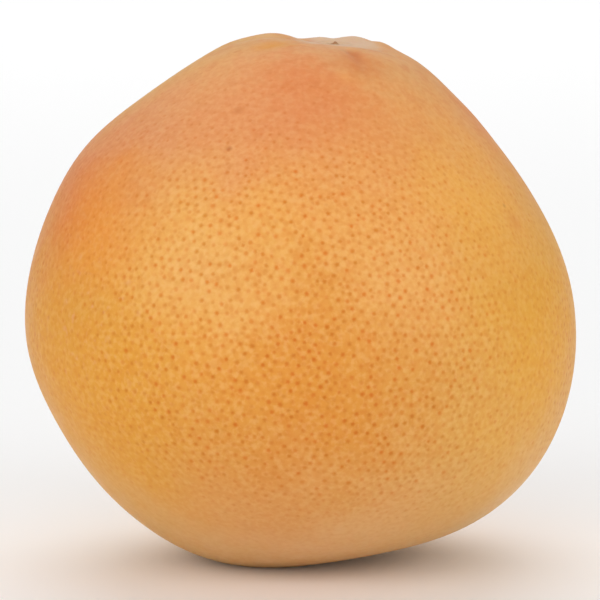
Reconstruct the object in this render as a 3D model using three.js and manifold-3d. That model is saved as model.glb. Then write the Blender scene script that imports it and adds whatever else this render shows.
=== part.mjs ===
// A whole grapefruit, picked, resting on the small flat that its own weight has given it.
//
// Millimetres, +Z up. The origin is the middle of the fruit's footprint, on the surface it stands
// on. The fruit is one closed solid. It settled with its core leaning towards +X, so its stem end
// is up and to the right, and its blossom end down and to the left.
//
// The skin is a distance from the middle of the fruit, worked out from two angles: `polar`, down
// from the stem end, and `azimuth`, round the core from the side it leans to.

import * as THREE from 'three';
import { mergeVertices } from 'three/addons/utils/BufferGeometryUtils.js';
import Module from 'manifold-3d';

// ---- Driving dimensions: millimetres, and degrees where the name says so ----

// From the middle to the skin, every 15 degrees round the upright outline: from the stem end over
// the +X shoulder to the blossom end, and back up the other side. The skin runs smoothly past them.
const OUTLINE = [
  54.3, 58.6, 53.2, 52.6, 53.2, 55.6, 57.4, 58.9, 59.4, 57.5, 53.8, 52.8,
  54.9, 56.5, 55.9, 55.6, 55.7, 57.7, 56.6, 55.7, 56.1, 54.1, 55.9, 57.8,
];
const OVAL = 0.8; // the girth is this much wide of round on its long side, and short on the other
const THREE_SIDED = 0.35; // and this much off round again as a faint, soft triangle
const LONG_SIDE_DEG = 23; // azimuth of both
const LEAN_DEG = 7; // the core's lean towards +X
const SETTLED = 1; // how much of the underside the resting flat has taken

// The stem end, a shallow hollow where the stalk came away. Low swellings stand round it and on
// the shoulders, and furrows run out from it.
const SWELLINGS = [
  // x and y from the core. A height below zero is a dip.
  { x: -12, y: 3, height: 0.7, radius: 5 },
  { x: -6.5, y: 9, height: -0.5, radius: 4 },
  { x: -2, y: 6, height: 0.6, radius: 4 },
  { x: 4.5, y: 7, height: 1.2, radius: 4 },
  { x: 9.5, y: 4, height: 0.9, radius: 3 },
  { x: 33, y: 8, height: 0.6, radius: 8 },
  { x: -21, y: 8, height: 0.6, radius: 6 },
  { x: -34, y: 8, height: -0.4, radius: 8 },
];
const FURROW_HALF_WIDTH = 1.9;
const FURROWS = [
  // From where it is deepest, a furrow fades inwards to the core and outwards to the girth.
  { azimuthDeg: -178, depth: 0.6, deepestAt: 9, inwards: 5.4, outwards: 10 },
  { azimuthDeg: -140, depth: 0.6, deepestAt: 9, inwards: 5.4, outwards: 9 },
  { azimuthDeg: -70, depth: 0.9, deepestAt: 12, inwards: 2.6, outwards: 7 },
  { azimuthDeg: -22, depth: 0.45, deepestAt: 8, inwards: 4.8, outwards: 8 },
  { azimuthDeg: 34, depth: 0.25, deepestAt: 8, inwards: 4.8, outwards: 8 },
  { azimuthDeg: 90, depth: 0.4, deepestAt: 8, inwards: 4.8, outwards: 7 },
  { azimuthDeg: 146, depth: 1.2, deepestAt: 9, inwards: 5.4, outwards: 8 },
];

// The blossom end: a faint dimple round the scar that the flower left.
const BLOSSOM_DIMPLE = { depth: 0.35, radius: 3 };

// Oil glands pit the skin all over. They are wider here than on the fruit, and so fewer.
const GLAND_DEPTH = 0.45;
const GLAND_DEPTH_SPREAD = 0.15;
const GLAND_WANDER = 0.45; // how far a gland strays from its even place
const GLAND_SEED = 7;
const SMOOTH_TOP_DEG = 24; // the skin is smooth within this of the stem end
const SMOOTH_UNDERSIDE_DEG = 150; // and past this, round the blossom end and the resting flat
const FADE_DEG = 14; // over which the glands reach their full depth

// The mesh: triangles along an edge of the icosahedron that it starts as, a multiple of three so
// that the glands meet evenly across its edges, and how much closer they stand at the stem end.
const TRIANGLES_ALONG_EDGE = 21;
const STEM_END_CLOSER = 0.4;
const STEM_END_REACH_DEG = 40;

const MEAN_RADIUS = OUTLINE.reduce((sum, r) => sum + r, 0) / OUTLINE.length;
const radians = THREE.MathUtils.degToRad;

// ---- The skin ----

/** The outline's distance at an angle from the stem end: a closed cubic B-spline of OUTLINE. */
function outlineRadius(angle) {
  const count = OUTLINE.length;
  const place = THREE.MathUtils.euclideanModulo((angle / (2 * Math.PI)) * count, count);
  const before = Math.floor(place);
  const t = place - before;
  const weights = [
    (1 - t) ** 3,
    3 * t ** 3 - 6 * t ** 2 + 4,
    -3 * t ** 3 + 3 * t ** 2 + 3 * t + 1,
    t ** 3,
  ];
  const radii = weights.map((weight, i) => weight * OUTLINE[(before + count - 1 + i) % count]);
  return radii.reduce((sum, r) => sum + r, 0) / 6;
}

/** A soft round bump: 1 in its middle, fading with distance. */
function bump(distance, radius) {
  return Math.exp(-((distance / radius) ** 2));
}

/** How deep one furrow is, `out` millimetres from the core at an azimuth. */
function furrowDepth(furrow, out, azimuth) {
  const aside = azimuth - radians(furrow.azimuthDeg);
  if (Math.cos(aside) <= 0) {
    return 0;
  }
  const past = out - furrow.deepestAt;
  const along = bump(past, past > 0 ? furrow.outwards : furrow.inwards);
  return furrow.depth * along * bump(out * Math.sin(aside), FURROW_HALF_WIDTH);
}

/** The smooth skin's distance from the middle. */
function skinRadius(polar, azimuth) {
  const leanSide = outlineRadius(polar);
  const farSide = outlineRadius(-polar);
  const round = azimuth - radians(LONG_SIDE_DEG);
  const girth = Math.sin(polar);
  let radius = (leanSide + farSide) / 2 + (Math.cos(azimuth) * (leanSide - farSide)) / 2;
  radius += OVAL * girth ** 2 * Math.cos(2 * round);
  radius += THREE_SIDED * girth ** 3 * Math.cos(3 * round);

  const out = polar * MEAN_RADIUS;
  const x = out * Math.cos(azimuth);
  const y = out * Math.sin(azimuth);
  for (const swelling of SWELLINGS) {
    const distance = Math.hypot(x - swelling.x, y - swelling.y);
    radius += swelling.height * bump(distance, swelling.radius);
  }
  for (const furrow of FURROWS) {
    radius -= furrowDepth(furrow, out, azimuth);
  }
  const outFromBlossom = (Math.PI - polar) * MEAN_RADIUS;
  radius -= BLOSSOM_DIMPLE.depth * bump(outFromBlossom, BLOSSOM_DIMPLE.radius);
  return radius;
}

/** The share of their full depth that glands have at a polar angle. */
function glandShare(polar) {
  const smoothstep = THREE.MathUtils.smoothstep;
  const top = radians(SMOOTH_TOP_DEG);
  const underside = radians(SMOOTH_UNDERSIDE_DEG);
  const fade = radians(FADE_DEG);
  return smoothstep(polar, top, top + fade) * (1 - smoothstep(polar, underside - fade, underside));
}

// ---- The mesh ----

/**
 * Marks one vertex of every triangle as a gland, evenly over the sphere. The lattice takes three
 * kinds of vertex in turn, so a triangle with two kinds known gives the third.
 */
function markGlands(index, vertexCount) {
  const kinds = new Int8Array(vertexCount).fill(-1);
  kinds[index[0]] = 0;
  kinds[index[1]] = 1;
  let waiting = index.length / 3;
  while (waiting > 0) {
    waiting = 0;
    for (let i = 0; i < index.length; i += 3) {
      const corners = [index[i], index[i + 1], index[i + 2]];
      const unknown = corners.filter((corner) => kinds[corner] < 0);
      if (unknown.length === 1) {
        const known = corners.reduce((sum, corner) => sum + Math.max(kinds[corner], 0), 0);
        kinds[unknown[0]] = 3 - known;
      } else if (unknown.length > 1) {
        waiting += 1;
      }
    }
  }
  return kinds.map((kind) => (kind === 0 ? 1 : 0));
}

/** A closed sphere of even triangles, with its vertices shared. */
function evenSphere() {
  const sphere = new THREE.IcosahedronGeometry(1, TRIANGLES_ALONG_EDGE - 1);
  sphere.deleteAttribute('normal');
  sphere.deleteAttribute('uv');
  return mergeVertices(sphere, 1e-5);
}

/** The skin, glands and all, about the fruit's middle with its core upright. */
function skinGeometry() {
  const geometry = evenSphere();
  const vertices = geometry.getAttribute('position');
  const glands = markGlands(geometry.index.array, vertices.count);
  const random = THREE.MathUtils.seededRandom;
  random(GLAND_SEED);
  for (let i = 0; i < vertices.count; i += 1) {
    const evenPolar = Math.acos(THREE.MathUtils.clamp(vertices.getZ(i), -1, 1));
    const closer = STEM_END_CLOSER * bump(evenPolar, radians(STEM_END_REACH_DEG));
    let polar = evenPolar * (1 - closer);
    let azimuth = Math.atan2(vertices.getY(i), vertices.getX(i));
    let depth = 0;
    const share = glandShare(polar);
    if (glands[i] && share > 0) {
      depth = share * (GLAND_DEPTH + GLAND_DEPTH_SPREAD * (2 * random() - 1));
      const wander = (share * GLAND_WANDER) / MEAN_RADIUS;
      polar += wander * (2 * random() - 1);
      azimuth += (wander * (2 * random() - 1)) / Math.sin(polar);
    }
    const radius = skinRadius(polar, azimuth) - depth;
    const out = radius * Math.sin(polar);
    vertices.setXYZ(i, out * Math.cos(azimuth), out * Math.sin(azimuth), radius * Math.cos(polar));
  }
  return geometry;
}

// ---- The fruit ----

/** A closed mesh as a solid that can be cut. */
function toSolid(wasm, geometry) {
  const vertProperties = new Float32Array(geometry.getAttribute('position').array);
  const triVerts = new Uint32Array(geometry.index.array);
  return new wasm.Manifold(new wasm.Mesh({ numProp: 3, vertProperties, triVerts }));
}

/** A cut solid as a mesh again. */
function toGeometry(solid) {
  const mesh = solid.getMesh();
  const geometry = new THREE.BufferGeometry();
  geometry.setAttribute('position', new THREE.BufferAttribute(mesh.vertProperties, mesh.numProp));
  geometry.setIndex(new THREE.BufferAttribute(mesh.triVerts, 1));
  return geometry;
}

/** Leans the fruit as it settled, stands it on z = 0 and takes off what the flat has taken. */
function settle(wasm, skin) {
  skin.rotateY(radians(LEAN_DEG));
  skin.computeBoundingBox();
  skin.translate(0, 0, -skin.boundingBox.min.z - SETTLED);

  const width = 4 * MEAN_RADIUS;
  const height = 4 * SETTLED;
  const below = new THREE.BoxGeometry(width, width, height);
  below.translate(0, 0, -height / 2);
  below.deleteAttribute('normal');
  below.deleteAttribute('uv');
  const fruit = toGeometry(toSolid(wasm, skin).subtract(toSolid(wasm, mergeVertices(below))));

  fruit.computeBoundingBox();
  const middle = fruit.boundingBox.getCenter(new THREE.Vector3());
  fruit.translate(-middle.x, -middle.y, 0);
  fruit.computeVertexNormals();
  return fruit;
}

const wasm = await Module();
wasm.setup();

const peel = new THREE.MeshStandardMaterial({ color: 0xe6a055, roughness: 0.5, metalness: 0 });
const grapefruit = new THREE.Mesh(settle(wasm, skinGeometry()), peel);
grapefruit.name = 'grapefruit';

const part = new THREE.Group();
part.add(grapefruit);

export default part;
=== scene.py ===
"""A whole grapefruit: a waxy, blushed, finely pitted peel on a slightly leaning, uneven fruit.

Metres, +Z up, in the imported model's frame. The peel is one closed mesh. Its shape is worked out in
millimetres about the middle of the fruit, from the same named values as the solid has.
"""

import math
from math import radians

import bmesh
import bpy
import numpy as np
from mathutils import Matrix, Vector
from mathutils.kdtree import KDTree


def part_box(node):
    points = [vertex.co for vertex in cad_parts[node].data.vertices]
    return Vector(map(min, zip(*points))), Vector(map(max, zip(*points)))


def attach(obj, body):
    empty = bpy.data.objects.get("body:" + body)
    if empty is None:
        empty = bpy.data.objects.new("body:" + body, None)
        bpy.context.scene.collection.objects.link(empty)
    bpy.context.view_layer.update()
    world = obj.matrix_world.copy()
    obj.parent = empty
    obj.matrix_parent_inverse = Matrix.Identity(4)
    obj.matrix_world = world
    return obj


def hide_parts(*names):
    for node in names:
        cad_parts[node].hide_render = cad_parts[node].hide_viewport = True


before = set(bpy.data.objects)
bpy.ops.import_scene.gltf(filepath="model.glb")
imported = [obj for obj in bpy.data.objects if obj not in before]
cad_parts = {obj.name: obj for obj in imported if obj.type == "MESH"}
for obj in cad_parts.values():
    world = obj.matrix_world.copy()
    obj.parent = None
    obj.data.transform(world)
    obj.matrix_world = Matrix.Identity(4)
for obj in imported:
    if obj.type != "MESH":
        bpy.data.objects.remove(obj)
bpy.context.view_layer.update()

# ---- Sizes: millimetres, and degrees where the name says so ----

METRES = 0.001  # to a millimetre

# From the middle to the skin, every 15 degrees round the upright outline: from the stem end over
# the +X shoulder to the blossom end, and back up the other side. The skin runs smoothly past them.
OUTLINE = (
    54.3, 58.6, 53.2, 52.6, 53.2, 55.6, 57.4, 58.9, 59.4, 57.5, 53.8, 52.8,
    54.9, 56.5, 55.9, 55.6, 55.7, 57.7, 56.6, 55.7, 56.1, 54.1, 55.9, 57.8,
)
OVAL = 0.8
THREE_SIDED = 0.35
LONG_SIDE_DEG = 23
LEAN_DEG = 7
SETTLED = 1.0

# Swellings round the stem end and on the shoulders: x, y, height (below zero for a dip), radius.
SWELLINGS = (
    (-12, 3, 0.7, 5),
    (-6.5, 9, -0.5, 4),
    (-2, 6, 0.6, 4),
    (4.5, 7, 1.2, 4),
    (9.5, 4, 0.9, 3),
    (33, 8, 0.6, 8),
    (-21, 8, 0.6, 6),
    (-34, 8, -0.4, 8),
)
# Furrows out from the stem end: azimuth in degrees, depth, where deepest, and how far they fade
# inwards to the core and outwards to the girth from there.
FURROW_HALF_WIDTH = 1.9
FURROWS = (
    (-178, 0.6, 9, 5.4, 10),
    (-140, 0.6, 9, 5.4, 9),
    (-70, 0.9, 12, 2.6, 7),
    (-22, 0.45, 8, 4.8, 8),
    (34, 0.25, 8, 4.8, 8),
    (90, 0.4, 8, 4.8, 7),
    (146, 1.2, 9, 5.4, 8),
)
BLOSSOM_DIMPLE_DEPTH = 0.35
BLOSSOM_DIMPLE_RADIUS = 3

# Oil glands: where they stand. They start as the points of a split icosahedron.
GLAND_SPLITS = 6  # for about 10,000 glands
GLAND_SPACING = 2.16
CORNER_EDGES = 5  # meet at each of the icosahedron's twelve corners, and six at other points
CORNER_SPREAD = 0.25  # how much further apart the points at a corner are set
CORNER_REACH_DEG = 36
CORNER_FALL = 1.5  # how fast that lessens away from the corner
LEAST_LENGTH = 1e-9  # so that a corner itself isn't divided by nought
GLAND_SEED = 11
GLAND_WANDER = 0.42  # of the spacing
GLAND_EASE = 0.5  # how far each gland is drawn to the middle of its neighbours
GLAND_EASE_STEPS = 4

# Oil glands: how large, deep and strong they are
GLAND_RIM = 0.74  # the largest gland's rim, from its middle
GLAND_SIZE = (0.8, 1.0)  # of the largest
RIM_ROOM = 0.46  # how much of the way to its nearest neighbour a rim may take
GLAND_DEPTH = 0.12
GLAND_TONE = (0.46, 0.94)  # how strong a gland's colour is
FAINT_GLANDS = 0.16  # the share of glands that are fainter than that
FAINT_TONE = (0.15, 0.5)
LESS_FULL_FAINT = 0.35  # the share that joins them where the glands are hardly there
LESS_FULL_SIZE = 0.8  # and how much of their size they all have there
RIM_TINT = 0.3  # how much of a gland's colour is left at its rim
TINY_GLANDS = 0.34  # the share of the places between three glands that hold a tiny one
TINY_GLAND_SIZE = (0.5, 0.8)
TINY_TONE = (0.2, 0.5)
# How full the glands are, by degrees from the stem end.
GLAND_FADE = (
    (0, 0), (9, 0), (15, 0.2), (26, 0.5), (34, 0.8), (50, 1),
    (110, 1), (121, 0.75), (132, 0.42), (145, 0.28), (180, 0.28),
)
# Where they are fullest: bearing and height in degrees, and millimetres to where that starts to
# fade and is gone. Elsewhere they keep the share below.
FULL_GLANDS = ((0, 0, 26, 58), (170, 0, 24, 58), (-102, -4, 14, 44), (98, -6, 14, 40))
LESSER_GLANDS = 0.45

PILLOW = 0.02  # how far the peel swells between glands
WITHIN_SOLID = 0.08  # the peel lies this far inside the solid, whose faces are flat
MEAN_RADIUS = sum(OUTLINE) / len(OUTLINE)

# The mesh at the stem end, where the small forms are
STEM_END_CLOSER = 0.35  # how much closer its points stand
STEM_END_REACH_DEG = 26
SCAR_FACES_DEG = 7  # within this the faces are cut finer
SCAR_FACE_CUTS = 3

# The scar that the stem's button left: a sunken pale disc, cracked from its middle, with the
# brown stub of the stalk's core in it.
SCAR_RADIUS = 3.1
SCAR_WAVES = ((0.08, 3, 1), (0.06, 5, 0))  # in its edge: share of the radius, waves round, shift
SCAR_EDGE = 0.44  # how softly the edge falls
SCAR_DEPTH = 0.12
RIM_HEIGHT = 0.12
RIM_OUT = 0.35  # from the scar's edge to the top of its rim
RIM_WIDTH = 0.5
CRACKS = 5
CRACK_DEPTH = 0.12
CRACK_MIDDLE = 1.7  # from the core to where a crack is deepest
CRACK_REACH = 0.9
STUB_RADIUS = 0.9
STUB_EDGE = 0.3
STUB_HEIGHT = 0.65
STUB_SLANT = 0.35  # how much of its height slants, highest on the lean side


# ---- The skin, by formula ----


def outline_radius(angle):
    """The outline's distance at angles from the stem end: a closed cubic B-spline of OUTLINE."""
    radii = np.array(OUTLINE)
    place = np.mod(angle / (2 * math.pi) * len(radii), len(radii))
    before = np.floor(place).astype(int)
    t = place - before
    weights = ((1 - t) ** 3, 3 * t**3 - 6 * t**2 + 4, -3 * t**3 + 3 * t**2 + 3 * t + 1, t**3)
    return sum(w * radii[(before + i - 1) % len(radii)] for i, w in enumerate(weights)) / 6


def bump(distance, radius):
    """A soft round bump: 1 in its middle, fading with distance."""
    return np.exp(-((distance / radius) ** 2))


def furrow_depths(out, azimuth):
    """How deep the furrows are, `out` millimetres from the core, at azimuths."""
    total = np.zeros_like(out)
    for azimuth_deg, depth, deepest_at, inwards, outwards in FURROWS:
        aside = azimuth - radians(azimuth_deg)
        past = out - deepest_at
        along = bump(past, np.where(past > 0, outwards, inwards))
        across = bump(out * np.sin(aside), FURROW_HALF_WIDTH)
        total += np.where(np.cos(aside) > 0, depth * along * across, 0)
    return total


def skin_radius(polar, azimuth):
    """The smooth skin's distance from the middle of the fruit."""
    lean_side = outline_radius(polar)
    far_side = outline_radius(-polar)
    around = azimuth - radians(LONG_SIDE_DEG)
    girth = np.sin(polar)
    radius = (lean_side + far_side) / 2 + np.cos(azimuth) * (lean_side - far_side) / 2
    radius += OVAL * girth**2 * np.cos(2 * around)
    radius += THREE_SIDED * girth**3 * np.cos(3 * around)

    out = polar * MEAN_RADIUS
    for x, y, height, reach in SWELLINGS:
        distance = np.hypot(out * np.cos(azimuth) - x, out * np.sin(azimuth) - y)
        radius += height * bump(distance, reach)
    radius -= furrow_depths(out, azimuth)
    from_blossom = (math.pi - polar) * MEAN_RADIUS
    radius -= BLOSSOM_DIMPLE_DEPTH * bump(from_blossom, BLOSSOM_DIMPLE_RADIUS)
    return radius


# ---- The peel's mesh ----

RIND = "waxy citrus rind"
INSIDE_RIM = "inside a rim"  # marks the glands' faces while they are made


def points_of(mesh):
    """The mesh's points, one row each."""
    points = np.empty(3 * len(mesh.vertices), np.float32)
    mesh.vertices.foreach_get("co", points)
    return points.reshape(-1, 3).astype(float)


def move_points(mesh, points):
    """Puts the mesh's points where the rows say."""
    mesh.vertices.foreach_set("co", np.ravel(points).astype(np.float32))
    mesh.update()


def edges_of(mesh):
    """The mesh's edges, as two columns of point numbers."""
    ends = np.empty(2 * len(mesh.edges), np.int32)
    mesh.edges.foreach_get("vertices", ends)
    return ends.reshape(-1, 2)


def on_ball(points):
    """Points pushed out to the ball that the peel is worked on."""
    return points / np.linalg.norm(points, axis=1, keepdims=True) * MEAN_RADIUS * METRES


def ease_apart(mesh, share):
    """Moves each point part of the way to the middle of its neighbours."""
    points = points_of(mesh)
    ends = edges_of(mesh)
    total = np.zeros_like(points)
    count = np.zeros(len(points))
    for here, there in (ends.T, ends.T[::-1]):
        np.add.at(total, here, points[there])
        np.add.at(count, here, 1)
    move_points(mesh, on_ball(points + share * (total / count[:, None] - points)))


def even_out(mesh):
    """Spreads the ball's points, which stand closer towards the icosahedron's corners."""
    points = points_of(mesh)
    points /= np.linalg.norm(points, axis=1)[:, None]
    corners = points[np.bincount(edges_of(mesh).ravel()) == CORNER_EDGES]
    nearness = np.clip(points @ corners.T, -1, 1)
    nearest = corners[nearness.argmax(axis=1)]
    angle = np.arccos(nearness.max(axis=1))[:, None]
    aside = points - np.cos(angle) * nearest
    aside /= np.maximum(np.linalg.norm(aside, axis=1), LEAST_LENGTH)[:, None]
    within = np.clip(1 - angle / radians(CORNER_REACH_DEG), 0, 1)
    angle *= 1 + CORNER_SPREAD * within**CORNER_FALL
    move_points(mesh, on_ball(np.cos(angle) * nearest + np.sin(angle) * aside))


def edit(piece, kind):
    """Opens a piece in edit mode with nothing selected and vertices, edges or faces to pick."""
    bpy.ops.object.select_all(action="DESELECT")
    bpy.context.view_layer.objects.active = piece
    piece.select_set(True)
    bpy.ops.object.mode_set(mode="EDIT")
    bpy.ops.mesh.select_mode(type=kind)
    bpy.ops.mesh.select_all(action="DESELECT")


def done():
    """Leaves edit mode."""
    bpy.ops.object.mode_set(mode="OBJECT")


def scatter_glands(peel, chance):
    """Lets the ball's points stray, then rests them, so that they stand as oil glands do."""
    mesh = peel.data
    even_out(mesh)
    points = points_of(mesh)
    stray = chance.normal(size=points.shape) * GLAND_WANDER * GLAND_SPACING * METRES
    move_points(mesh, on_ball(points + stray))
    for _ in range(GLAND_EASE_STEPS):
        ease_apart(mesh, GLAND_EASE)
        edit(peel, "FACE")
        bpy.ops.mesh.select_all(action="SELECT")
        bpy.ops.mesh.beautify_fill(angle_limit=math.pi)
        done()


def polar_and_azimuth(points):
    """The angle down from the stem end, and round the core, of points about the middle."""
    length = np.linalg.norm(points, axis=1)
    polar = np.arccos(np.clip(points[:, 2] / length, -1, 1))
    return polar, np.arctan2(points[:, 1], points[:, 0])


def ball_points(polar, azimuth, radius):
    """Points at those angles, that far from the middle."""
    out = radius * np.sin(polar)
    return np.stack([out * np.cos(azimuth), out * np.sin(azimuth), radius * np.cos(polar)], 1)


def gather_at_stem_end(mesh):
    """Draws the mesh's points closer together at the stem end, where its small forms are."""
    polar, azimuth = polar_and_azimuth(points_of(mesh))
    polar *= 1 - STEM_END_CLOSER * bump(polar, radians(STEM_END_REACH_DEG))
    move_points(mesh, ball_points(polar, azimuth, MEAN_RADIUS * METRES))


def toward(bearing_deg, height_deg):
    """The direction at a bearing (0 is -Y, 90 is +X) and a height."""
    bearing, height = radians(bearing_deg), radians(height_deg)
    level = math.cos(height)
    return Vector((math.sin(bearing) * level, -math.cos(bearing) * level, math.sin(height)))


def gland_fade(mesh):
    """How full each point's gland is: none at the stem end, and flatter ones near both ends."""
    points = points_of(mesh)
    polar, _ = polar_and_azimuth(points)
    full = np.zeros(len(points))
    for bearing, height, near, far in FULL_GLANDS:
        place = np.array(toward(bearing, height)) * MEAN_RADIUS
        distance = np.linalg.norm(points / METRES - place, axis=1)
        full = np.maximum(full, np.clip((far - distance) / (far - near), 0, 1))
    share = LESSER_GLANDS + (1 - LESSER_GLANDS) * full * full * (3 - 2 * full)
    return share * np.interp(np.degrees(polar), *zip(*GLAND_FADE))


def room_for_rims(mesh):
    """The widest rim each point's gland can have clear of its neighbours' rims, in metres."""
    points, ends = points_of(mesh), edges_of(mesh)
    lengths = np.linalg.norm(points[ends[:, 0]] - points[ends[:, 1]], axis=1)
    room = np.full(len(points), np.inf)
    np.minimum.at(room, ends.ravel(), np.repeat(lengths, 2))
    return RIM_ROOM * room


def set_values(mesh, name, values):
    """Keeps a number for each of the mesh's points under a name."""
    kept = mesh.attributes.get(name) or mesh.attributes.new(name, "FLOAT", "POINT")
    kept.data.foreach_set("value", np.asarray(values, np.float32))


def cut_rims(peel, sizes):
    """Cuts each gland's rim round its point, by bevelling the point, and marks the face in it."""
    widest = GLAND_RIM * METRES
    rims = np.minimum(sizes * widest, room_for_rims(peel.data))
    set_values(peel.data, "bevel_weight_vert", rims / widest)
    for name in (RIND, INSIDE_RIM):
        peel.data.materials.append(bpy.data.materials.new(name))
    rim = peel.modifiers.new("gland rims", "BEVEL")
    rim.affect = "VERTICES"
    rim.limit_method = "WEIGHT"
    rim.width = widest
    rim.segments = 1
    rim.material = 1
    rim.use_clamp_overlap = False
    bpy.ops.object.modifier_apply(modifier=rim.name)


def poke_glands(peel):
    """Gives every gland a point in its middle, and drops the material that marked its face."""
    edit(peel, "FACE")
    peel.active_material_index = 1
    bpy.ops.object.material_slot_select()
    bpy.ops.mesh.poke()
    done()
    bpy.ops.object.material_slot_remove()
    bpy.data.materials.remove(bpy.data.materials[INSIDE_RIM])


def poke_between_glands(peel):
    """Gives every face that is left with more than three sides a point in its middle."""
    edit(peel, "FACE")
    bpy.ops.mesh.select_face_by_sides(number=3, type="GREATER", extend=False)
    bpy.ops.mesh.poke()
    done()


def refine_stem_end(peel):
    """Cuts the faces at the stem end finer."""
    edit(peel, "FACE")
    mesh = bmesh.from_edit_mesh(peel.data)
    for face in mesh.faces:
        polar = face.calc_center_median().angle(Vector((0, 0, 1)))
        face.select_set(polar < radians(SCAR_FACES_DEG))
    bmesh.update_edit_mesh(peel.data)
    bpy.ops.mesh.subdivide(number_cuts=SCAR_FACE_CUTS)
    done()
    move_points(peel.data, on_ball(points_of(peel.data)))


def falls(distance, softness):
    """1 inside an edge, 0 outside it, turning softly over it."""
    return 0.5 - 0.5 * np.tanh(distance / softness)


def stem_scar(out, azimuth):
    """The stem scar's height over the skin around it, and where its cracks and rim are darker."""
    waves = (share * np.sin(count * azimuth + shift) for share, count, shift in SCAR_WAVES)
    edge = SCAR_RADIUS * (1 + sum(waves))
    inside = falls(out - edge, SCAR_EDGE)
    # The cracks stand unevenly round the core, and bend. The rim is higher on two of its sides.
    along = CRACKS * azimuth + 2.2 * np.sin(azimuth) + 0.9 * np.sin(2 * azimuth + out)
    crack = np.clip(np.cos(along), 0, 1) ** 3 * bump(out - CRACK_MIDDLE, CRACK_REACH)
    rim = bump(out - edge - RIM_OUT, RIM_WIDTH) * (0.7 + 0.3 * np.sin(2 * azimuth + 2))
    slant = 1 - STUB_SLANT + STUB_SLANT * np.cos(azimuth)
    stub = STUB_HEIGHT * falls(out - STUB_RADIUS, STUB_EDGE) * slant
    height = RIM_HEIGHT * rim + stub - inside * (SCAR_DEPTH + CRACK_DEPTH * crack)
    return height, np.maximum(crack, 0.6 * rim)


def shape_peel(mesh, depths):
    """Moves the ball's points to the fruit's skin, less each one's depth, and gives its middle.

    The fruit leans, and its underside is flat where it rests.
    """
    polar, azimuth = polar_and_azimuth(points_of(mesh))
    out = polar * MEAN_RADIUS
    scar_height, scar_dark = stem_scar(out, azimuth)
    radius = skin_radius(polar, azimuth) + scar_height - depths - WITHIN_SOLID
    x, y, z = ball_points(polar, azimuth, radius).T
    lean = radians(LEAN_DEG)
    cos, sin = math.cos(lean), math.sin(lean)
    leant = np.stack([x * cos + z * sin, y, z * cos - x * sin], 1)
    solid_low, solid_high = (np.array(corner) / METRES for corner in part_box("grapefruit"))
    low, high = leant.min(0), leant.max(0)
    place = (solid_low + solid_high) / 2 - (low + high) / 2
    place[2] = -low[2] - SETTLED
    leant += place
    leant[:, 2] = np.maximum(leant[:, 2], 0)
    move_points(mesh, leant * METRES)
    set_values(mesh, "from_stem", out)
    set_values(mesh, "furrow", furrow_depths(out, azimuth))
    set_values(mesh, "scar", scar_dark)
    return place


def gland_colour(mesh, rim_points, middle_points, gland_places, tones, chance):
    """Each point's part in a gland's colour: how near it is to a middle, and how strong that is.

    The points come in the order they were made: rims, glands' middles, and places between.
    """
    tree = KDTree(len(gland_places))
    for i, place in enumerate(gland_places):
        tree.insert(place, i)
    tree.balance()
    nearest = [tree.find(point.co)[1] for point in mesh.vertices[:middle_points]]
    between = len(mesh.vertices) - middle_points
    tiny = chance.random(between) < TINY_GLANDS
    near = np.concatenate([
        np.full(rim_points, RIM_TINT),
        np.ones(middle_points - rim_points),
        chance.uniform(*TINY_GLAND_SIZE, between) * tiny,
    ])
    strong = np.concatenate([tones[nearest], chance.uniform(*TINY_TONE, between)])
    return near, strong


def tones_and_sizes(mesh, chance):
    """How strong each gland's colour is, and its size as a share of the largest's."""
    count = len(mesh.vertices)
    full = gland_fade(mesh)
    faint = chance.random(count) < FAINT_GLANDS + LESS_FULL_FAINT * (1 - full)
    tones = np.where(faint, chance.uniform(*FAINT_TONE, count), chance.uniform(*GLAND_TONE, count))
    tones *= full
    sizes = chance.uniform(*GLAND_SIZE, count) * (tones > 0)
    sizes *= LESS_FULL_SIZE + (1 - LESS_FULL_SIZE) * full
    return tones, sizes


def make_peel():
    """The whole fruit's peel, as one closed mesh in its place, and the middle of the fruit."""
    chance = np.random.default_rng(GLAND_SEED)
    bpy.ops.object.select_all(action="DESELECT")
    bpy.ops.mesh.primitive_ico_sphere_add(subdivisions=GLAND_SPLITS, radius=MEAN_RADIUS * METRES)
    peel = bpy.context.object
    peel.name = "grapefruit_peel"
    mesh = peel.data
    scatter_glands(peel, chance)
    gather_at_stem_end(mesh)
    refine_stem_end(peel)

    gland_places = points_of(mesh)
    tones, sizes = tones_and_sizes(mesh, chance)
    cut_rims(peel, sizes)
    rim_points = len(mesh.vertices)
    poke_glands(peel)
    middle_points = len(mesh.vertices)
    poke_between_glands(peel)

    near, strong = gland_colour(mesh, rim_points, middle_points, gland_places, tones, chance)
    full = gland_fade(mesh)
    strong[middle_points:] *= full[middle_points:]
    depths = GLAND_DEPTH * near * strong
    depths[:rim_points] = 0
    depths[middle_points:] -= PILLOW
    middle = shape_peel(mesh, depths)
    set_values(mesh, "gland", near)
    set_values(mesh, "gland_tone", strong)
    set_values(mesh, "fullness", full)
    bpy.ops.object.select_all(action="DESELECT")
    peel.select_set(True)
    bpy.ops.object.shade_smooth()
    return peel, middle


# ---- Materials ----

SOFTLY = {"interpolation_type": "SMOOTHSTEP"}

# Pattern sizes in millimetres, from one soft spot to the next.
DRIFT_SIZE = 14  # the wander of the blushes' edges
HUE_SIZE = 3  # from redder glands to browner ones
RAGGED_SIZE = 0.77  # the ragged edges of the glands' dots
PORE_SIZE = 0.67
PORE_DEPTH = 0.03
PORE_STRENGTH = 0.6

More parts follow.
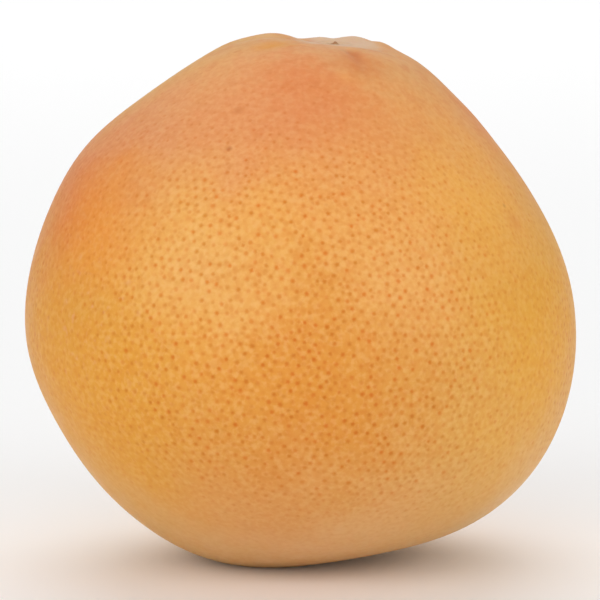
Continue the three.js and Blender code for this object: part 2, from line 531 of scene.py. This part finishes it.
# Where the rind's colour turns from its ground, and where painted highlights and painted light lie
# on it:
# bearing and height in degrees from the middle of the fruit, radius in millimetres, colour and
# strength.
GROUND = "#D9A961"
PATCHES = (
    (150, 40, 50, "#E07A4B", 0.75),  # rosy, behind
    (178, -8, 46, "#EBA82C", 0.75),  # gold, behind
    (-122, 6, 42, "#E69E42", 0.7),
    (118, -18, 42, "#EFB055", 0.7),
    (-150, -50, 44, "#EBC083", 0.6),
    (103, 45, 34, "#DC7C52", 0.7),  # rosy, past the right shoulder
    # Painted light: the pale, greyish light from the white surroundings, low on the right.
    (85, -42, 38, "#E2C08E", 0.7),  # paler, low on the right
    # A painted highlight: the soft bright spot high on the left of the front.
    (-18, 17, 40, "#F9AE3E", 0.75),  # lighter
    (24, 27, 42, "#F4AB5B", 0.7),
    (-2, 1, 42, "#DD9C49", 0.75),  # full orange
    (1, 60, 40, "#E79158", 0.8),  # rosy blush
    (-41, 51, 36, "#E69C6F", 0.6),
    (-71, 30, 38, "#DC7C57", 0.75),
    (-65, -5, 50, "#DD9407", 0.8),  # gold
    (67, -2, 56, "#E9A207", 0.7),
    (55, 45, 38, "#E79E5B", 0.7),
    # Partly a paler blossom end and partly painted light, lifting the shade where the fruit rests.
    (1, -54, 46, "#EDB983", 0.7),  # paler where it rests
    (-39, -19, 40, "#DF9607", 0.6),
    (5, -16, 40, "#D88507", 0.6),  # browner
    (90, 83, 32, "#CD9775", 0.6),  # round the stem end
    (-51, 22, 24, "#EE9332", 0.6),  # where the left blush meets the gold
    # A painted highlight too, in the middle of that bright spot on the left.
    (-21, 16, 24, "#E5B26A", 0.6),  # palest
    # A painted highlight: the soft bright spot on the right of the front.
    (24, 11, 22, "#E9AB5E", 0.6),
    (4, 59, 22, "#DC8250", 0.6),  # reddest
    (48, 30, 22, "#F0B248", 0.6),
    (-13, -35, 26, "#DD974E", 0.6),
    (-66, 22, 17, "#DE6E28", 0.35),
    (-33, 50, 15, "#E0884C", 0.3),
    (34, 47, 14, "#DE8A48", 0.25),
)
PATCH_WANDER = 20  # how far their edges wander
# Smaller patches near the stem end, in the same terms.
STEM_END_PATCHES = (
    (-80, 83, 4.5, "#DAB080", 0.45),
    (-33, 78, 5, "#DC9028", 0.6),  # an orange streak
    (-18, 80, 4.4, "#DC9430", 0.5),
    (38, 69, 9, "#CE7434", 0.45),  # where a furrow runs out
    (23, 64, 3.4, "#F2B46A", 0.25),
)
STEM_END_WANDER = 5
# Specks and small blots, in the same terms, with even edges; the first is painted shade at the
# bottom of a furrow.
MARKS = (
    # Painted shade at the bottom of the nearest furrow.
    (44, 74, 3.2, "#C4641C", 0.5),  # the bottom of the nearest furrow
    (37, 71, 4, "#C86820", 0.35),
    (-23, 54, 1.7, "#C06428", 0.38),
    (-21, 43, 1, "#A8501C", 0.5),
    (61, 27, 0.9, "#B4701C", 0.45),
    (62, 23, 4, "#D98436", 0.4),
    (-90, -83, 3.6, "#B98A50", 0.5),  # the scar that the flower left
    (-90, -83, 1.5, "#8C6438", 0.6),
)

# The mottle over the patches. Each noise has its size in millimetres and its detail.
MOTTLE_NOISES = {"cloud": (6.2, 3), "mottle": (1.2, 2), "blotch": (3.4, 3), "fleck": (2.2, 2)}
FLECK_COLOUR = "#E3AC90"
FLECKED_SIDE = (-48, 5, 30, FLECK_COLOUR, 0.3)  # the patch that holds the pale flecks
BLOTCHED_REACH = (12, 48)  # from the stem, where the blotches start to fade and are gone
LEAST_MOTTLE = 0.55  # the share of the mottle that is left where the glands are hardly there
# The noise that a coat follows, from where to where that brings it in, the most that it covers,
# its colour, and where on the fruit it lies.
MOTTLES = (
    ("cloud", 0.35, 0.7, 0.05, "#D27A32", "everywhere"),
    ("mottle", 0.42, 0.7, 0.18, "#F4C88C", "among full glands"),
    ("mottle", 0.55, 0.3, 0.18, "#D8843A", "among full glands"),
    ("fleck", 0.6, 0.76, 1, FLECK_COLOUR, "flecked side"),
    ("blotch", 0.5, 0.68, 0.22, "#DDB078", "stem end"),
    ("blotch", 0.48, 0.32, 0.25, "#CC6A2C", "stem end"),
)

# The glands' dots
DOT_RAGGED = 0.3  # how much their edges' noise adds
DOT_EDGE = (0.2, 1.1)  # from where to where between glands and their middles a dot comes in
DOT_STAINS = ("#E7BF69", "#F1B761")  # over the rind: olive brown and red-orange
STAIN_TURN = (0.35, 0.65)  # from where to where in the hue's noise the one turns to the other

# The pale stem end: bearing and height of its middle, how far it is full and how far it reaches
# from there, and how ragged its edge is, all in millimetres.
PALE_MIDDLE = (96, 82)
PALE_REACH = (8.5, 12.5)
PALE_RAGGED = 5
# What each coat follows, from where to where that brings it in, the most that it covers, and its
# colour. The pale one goes by metres, and the furrows' depth and the way from the stem are in
# millimetres.
STEM_END_COATS = (
    ("pale", PALE_REACH[1] * METRES, PALE_REACH[0] * METRES, 0.8, "#D6B698"),
    # Painted shade: darker the deeper the furrow.
    ("furrow", 0.3, 1.1, 0.35, "#C4601C"),
    ("from_stem", 3.4, 1.8, 0.4, "#C4A07A"),  # the scar
    ("scar", 0, 1, 0.32, "#9C7048"),  # its cracks and rim
    ("from_stem", 1.6, 0.7, 0.9, "#A0704A"),  # the stub
)

# The sheen of the wax, and the light that spreads inside the rind
ROUGHNESS = (0.4, 0.52)  # it follows the clouds
ROUGHNESS_TURN = (0.3, 0.7)  # from where to where in their noise
GLOSS = 0.18  # a thin, dull wax
LIT_WITHIN = 0.2
LIT_WITHIN_DEPTH = 2.5  # millimetres
LIT_WITHIN_SHARES = (1.0, 0.45, 0.2)  # of that, for red, green and blue light


def linear(code):
    """An sRGB hex colour as Blender's linear red, green, blue and alpha."""
    parts = [int(code[i : i + 2], 16) / 255 for i in (1, 3, 5)]
    return [c / 12.92 if c <= 0.04045 else ((c + 0.055) / 1.055) ** 2.4 for c in parts] + [1]


def scale_for(size):
    """The scale that gives a pattern its size in millimetres."""
    return 1 / (size * METRES)


def add(tree, kind, inputs=None, **settings):
    """Adds a node with its settings. An input takes a value, or another node's output."""
    made = tree.nodes.new(kind)
    for name, value in settings.items():
        setattr(made, name, value)
    for name, value in (inputs or {}).items():
        socket = made.inputs[name]
        if isinstance(value, bpy.types.NodeSocket):
            tree.links.new(value, socket)
        else:
            socket.default_value = value
    return made


def lay(tree, ground, coats):
    """Lays coats over a ground, one after another: each its colour and the share it covers."""
    for code, share in coats:
        inputs = {0: share, 6: ground, 7: linear(code)}
        ground = add(tree, "ShaderNodeMix", inputs, data_type="RGBA").outputs[2]
    return ground


def skin_place(middle, bearing_deg, height_deg):
    """The place on the skin, in metres, seen from the middle at a bearing and a height."""
    return tuple((Vector(middle) + toward(bearing_deg, height_deg) * MEAN_RADIUS) * METRES)


def patch_coats(tree, place, middle, patches):
    """Soft round patches as coats. Each fades from its strength in its middle to nothing."""
    coats = []
    for bearing, height, radius, code, strength in patches:
        centre = skin_place(middle, bearing, height)
        away = add(tree, "ShaderNodeVectorMath", {0: place, 1: centre}, operation="DISTANCE")
        inputs = {
            "Value": away.outputs["Value"],
            "From Min": radius * METRES,
            "From Max": 0,
            "To Max": strength,
        }
        coats.append((code, add(tree, "ShaderNodeMapRange", inputs, **SOFTLY).outputs[0]))
    return coats


def rind_colours_and_painted_light(tree, place, middle):
    """The rind's broad colours, with painted highlights and painted light low down among them, and
    the places that its smaller patches wander from.
    """
    drift = add(
        tree, "ShaderNodeTexNoise", {"Vector": place, "Scale": scale_for(DRIFT_SIZE), "Detail": 3}
    ).outputs["Color"]
    pull = add(
        tree, "ShaderNodeVectorMath", {0: drift, 1: (0.5, 0.5, 0.5)}, operation="SUBTRACT"
    ).outputs[0]
    far, nearby = (
        add(
            tree,
            "ShaderNodeVectorMath",
            {0: pull, 1: (wander * METRES,) * 3, 2: place},
            operation="MULTIPLY_ADD",
        ).outputs[0]
        for wander in (PATCH_WANDER, STEM_END_WANDER)
    )
    ground = add(tree, "ShaderNodeRGB").outputs[0]
    ground.default_value = linear(GROUND)
    return lay(tree, ground, patch_coats(tree, far, middle, PATCHES)), nearby


def mottled(tree, place, out, middle, colour):
    """Lays the mottles over the rind, and gives the noises that they follow."""
    noises = {
        name: add(
            tree,
            "ShaderNodeTexNoise",
            {"Vector": place, "Scale": scale_for(size), "Detail": detail},
        ).outputs["Fac"]
        for name, (size, detail) in MOTTLE_NOISES.items()
    }
    fullness = add(tree, "ShaderNodeAttribute", attribute_name="fullness").outputs["Fac"]
    among = add(tree, "ShaderNodeMapRange", {"Value": fullness, "To Min": LEAST_MOTTLE})
    full, none = BLOTCHED_REACH
    inputs = {"Value": out, "From Min": none, "From Max": full}
    near = add(tree, "ShaderNodeMapRange", inputs, **SOFTLY)
    [(_, flecked)] = patch_coats(tree, place, middle, [FLECKED_SIDE])
    where = {
        "everywhere": 1,
        "among full glands": among.outputs[0],
        "flecked side": flecked,
        "stem end": near.outputs[0],
    }
    coats = []
    for noise, start, end, most, code, side in MOTTLES:
        inputs = {"Value": noises[noise], "From Min": start, "From Max": end, "To Max": most}
        share = add(tree, "ShaderNodeMapRange", inputs, **SOFTLY).outputs[0]
        share = add(tree, "ShaderNodeMath", {0: share, 1: where[side]}, operation="MULTIPLY")
        coats.append((code, share.outputs[0]))
    return lay(tree, colour, coats), noises


def dotted(tree, place, colour):
    """Stains the oil glands: soft and uneven dots, from red-orange to olive brown."""
    gland, tone = (
        add(tree, "ShaderNodeAttribute", attribute_name=name).outputs["Fac"]
        for name in ("gland", "gland_tone")
    )
    edge, hue = (
        add(
            tree, "ShaderNodeTexNoise", {"Vector": place, "Scale": scale_for(size), "Detail": 1}
        ).outputs["Fac"]
        for size in (RAGGED_SIZE, HUE_SIZE)
    )
    ragged = add(
        tree, "ShaderNodeMath", {0: edge, 1: DOT_RAGGED, 2: gland}, operation="MULTIPLY_ADD"
    ).outputs[0]
    start, end = DOT_EDGE
    dot = add(
        tree, "ShaderNodeMapRange", {"Value": ragged, "From Min": start, "From Max": end}, **SOFTLY
    ).outputs[0]
    start, end = STAIN_TURN
    redder = add(
        tree, "ShaderNodeMapRange", {"Value": hue, "From Min": start, "From Max": end}
    ).outputs[0]
    brown, red = (linear(code) for code in DOT_STAINS)
    stain = add(tree, "ShaderNodeMix", {0: redder, 6: brown, 7: red}, data_type="RGBA").outputs[2]
    share = add(tree, "ShaderNodeMath", {0: dot, 1: tone}, operation="MULTIPLY").outputs[0]
    inputs = {0: share, 6: colour, 7: stain}
    return add(
        tree, "ShaderNodeMix", inputs, data_type="RGBA", blend_type="MULTIPLY"
    ).outputs[2]


def marked(tree, place, middle, colour):
    """Adds the specks, and painted shade at the bottom of a furrow, by the way that each place lies
    from the middle of the fruit.
    """
    centre = tuple(METRES * part for part in middle)
    outward = add(
        tree, "ShaderNodeVectorMath", {0: place, 1: centre}, operation="SUBTRACT"
    ).outputs[0]
    way = add(tree, "ShaderNodeVectorMath", {0: outward}, operation="NORMALIZE").outputs[0]
    even = add(
        tree,
        "ShaderNodeVectorMath",
        {0: way, 1: (MEAN_RADIUS * METRES,) * 3, 2: centre},
        operation="MULTIPLY_ADD",
    ).outputs[0]
    return lay(tree, colour, patch_coats(tree, even, middle, MARKS))


def stem_end(tree, nearby, middle, out, blotch, colour):
    """Pales the stem end to beige, darkens its furrows with painted shade, and browns the scar's
    cracks and the stub.
    """
    colour = lay(tree, colour, patch_coats(tree, nearby, middle, STEM_END_PATCHES))
    pale_middle = skin_place(middle, *PALE_MIDDLE)
    from_pale = add(
        tree, "ShaderNodeVectorMath", {0: nearby, 1: pale_middle}, operation="DISTANCE"
    ).outputs["Value"]
    inputs = {0: blotch, 1: PALE_RAGGED * METRES, 2: from_pale}
    follows = {
        "pale": add(tree, "ShaderNodeMath", inputs, operation="MULTIPLY_ADD").outputs[0],
        "furrow": add(tree, "ShaderNodeAttribute", attribute_name="furrow").outputs["Fac"],
        "from_stem": out,
        "scar": add(tree, "ShaderNodeAttribute", attribute_name="scar").outputs["Fac"],
    }
    coats = []
    for name, start, end, most, code in STEM_END_COATS:
        inputs = {"Value": follows[name], "From Min": start, "From Max": end, "To Max": most}
        coats.append((code, add(tree, "ShaderNodeMapRange", inputs, **SOFTLY).outputs[0]))
    return lay(tree, colour, coats)


def peel_finish(material, middle):
    """Waxy citrus rind: it gives the eye blushes over yellow-orange, with painted highlights,
    painted light underneath and painted shade in the furrows, red-brown dots and a sheen.
    """
    material.use_nodes = True
    tree = material.node_tree
    tree.nodes.clear()
    place = add(tree, "ShaderNodeTexCoord").outputs["Object"]
    out = add(tree, "ShaderNodeAttribute", attribute_name="from_stem").outputs["Fac"]
    colour, nearby = rind_colours_and_painted_light(tree, place, middle)
    colour, noises = mottled(tree, place, out, middle, colour)
    colour = dotted(tree, place, colour)
    colour = stem_end(tree, nearby, middle, out, noises["blotch"], colour)
    colour = marked(tree, place, middle, colour)

    pores = add(
        tree, "ShaderNodeTexNoise", {"Vector": place, "Scale": scale_for(PORE_SIZE), "Detail": 3}
    ).outputs["Fac"]
    bumps = add(
        tree,
        "ShaderNodeBump",
        {"Height": pores, "Strength": PORE_STRENGTH, "Distance": PORE_DEPTH * METRES},
    ).outputs["Normal"]
    sheen_spread = add(
        tree,
        "ShaderNodeMapRange",
        {
            "Value": noises["cloud"],
            "From Min": ROUGHNESS_TURN[0],
            "From Max": ROUGHNESS_TURN[1],
            "To Min": ROUGHNESS[0],
            "To Max": ROUGHNESS[1],
        },
    ).outputs[0]
    rind = add(
        tree,
        "ShaderNodeBsdfPrincipled",
        {
            "Base Color": colour,
            "Roughness": sheen_spread,
            "Subsurface Weight": LIT_WITHIN,
            "Subsurface Radius": LIT_WITHIN_SHARES,
            "Subsurface Scale": LIT_WITHIN_DEPTH * METRES,
            "Specular IOR Level": GLOSS,
            "Normal": bumps,
        },
    )
    add(tree, "ShaderNodeOutputMaterial", {"Surface": rind.outputs["BSDF"]})


def floor_finish():
    """Studio paper, matt white: it gives the eye a plain pale floor with soft shadows."""
    material = bpy.data.materials.new("studio paper")
    material.use_nodes = True
    tree = material.node_tree
    tree.nodes.clear()
    inputs = {"Base Color": linear(PAPER_COLOUR), "Roughness": PAPER_ROUGHNESS}
    paper = add(tree, "ShaderNodeBsdfPrincipled", inputs)
    add(tree, "ShaderNodeOutputMaterial", {"Surface": paper.outputs["BSDF"]})
    return material


# ---- Studio ----

FRAME_PIXELS = 600
PIXEL = 0.2087  # millimetres on the fruit that one pixel of the frame covers
FRUIT_PIXEL = (300.7, 307.2)  # where the fruit's middle falls in the frame
CAMERA_DISTANCE = 900
CAMERA_RISE_DEG = 8
CAMERA_NEAREST = 50
SENSOR = 36

PAPER_COLOUR = "#F9F9F9"
PAPER_ROUGHNESS = 0.9
FLOOR_WIDTH = 12  # metres
ROOM_LIGHT = 0.5
# Softboxes: bearing and height in degrees from the fruit, distance and width in metres, watts, and
# whether they show as glare. The back one leaves none, so that the fruit's top keeps its colour.
SOFTBOXES = {
    "front softbox": (-8, 26, 1.6, 1.4, 7, True),
    "left softbox": (-50, 22, 1.3, 0.7, 3, True),
    "right softbox": (50, 22, 1.3, 0.7, 3, True),
    "back softbox": (180, 48, 2.4, 2.2, 30, False),
}


def place_camera(middle):
    """The camera, a little above the fruit and a long lens away."""
    rise = radians(CAMERA_RISE_DEG)
    half = FRAME_PIXELS / 2
    right = Vector((1, 0, 0))
    aim = Vector(middle) - right * (FRUIT_PIXEL[0] - half) * PIXEL
    aim.z += (FRUIT_PIXEL[1] - half) * PIXEL
    back = Vector((0, -math.cos(rise), math.sin(rise)))
    data = bpy.data.cameras.new("camera")
    data.sensor_width = SENSOR
    data.lens = SENSOR * CAMERA_DISTANCE / (FRAME_PIXELS * PIXEL)
    data.clip_start = CAMERA_NEAREST * METRES
    camera = bpy.data.objects.new("camera", data)
    camera.location = (aim + back * CAMERA_DISTANCE) * METRES
    camera.rotation_euler = (math.pi / 2 - rise, 0, 0)
    bpy.context.scene.collection.objects.link(camera)
    bpy.context.scene.camera = camera


def light_softbox(name, middle, bearing_deg, height_deg, distance, width, watts, glare):
    """A square soft light turned to the fruit."""
    data = bpy.data.lights.new(name, "AREA")
    data.size = width
    data.energy = watts
    light = bpy.data.objects.new(name, data)
    way = toward(bearing_deg, height_deg)
    light.location = Vector(middle) * METRES + way * distance
    light.rotation_euler = way.to_track_quat("Z", "Y").to_euler()
    light.visible_glossy = glare
    bpy.context.scene.collection.objects.link(light)


def light_studio(middle):
    """An even white room, with softboxes round the fruit."""
    world = bpy.data.worlds.new("white studio")
    world.use_nodes = True
    room = world.node_tree.nodes["Background"].inputs
    room["Color"].default_value = (1, 1, 1, 1)
    room["Strength"].default_value = ROOM_LIGHT
    bpy.context.scene.world = world
    for name, values in SOFTBOXES.items():
        light_softbox(name, middle, *values)
    bpy.context.scene.view_settings.view_transform = "Standard"


def lay_floor():
    """The paper that the fruit stands on."""
    bpy.ops.object.select_all(action="DESELECT")
    bpy.ops.mesh.primitive_plane_add(size=FLOOR_WIDTH, location=(0, 0, 0))
    floor = bpy.context.object
    floor.name = "floor"
    floor.data.materials.append(floor_finish())


def main():
    """The fruit on its paper, with the camera and the lights."""
    peel, middle = make_peel()
    peel_finish(peel.data.materials[0], middle)
    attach(peel, "root")
    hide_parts("grapefruit")
    lay_floor()
    place_camera(middle)
    light_studio(middle)


main()
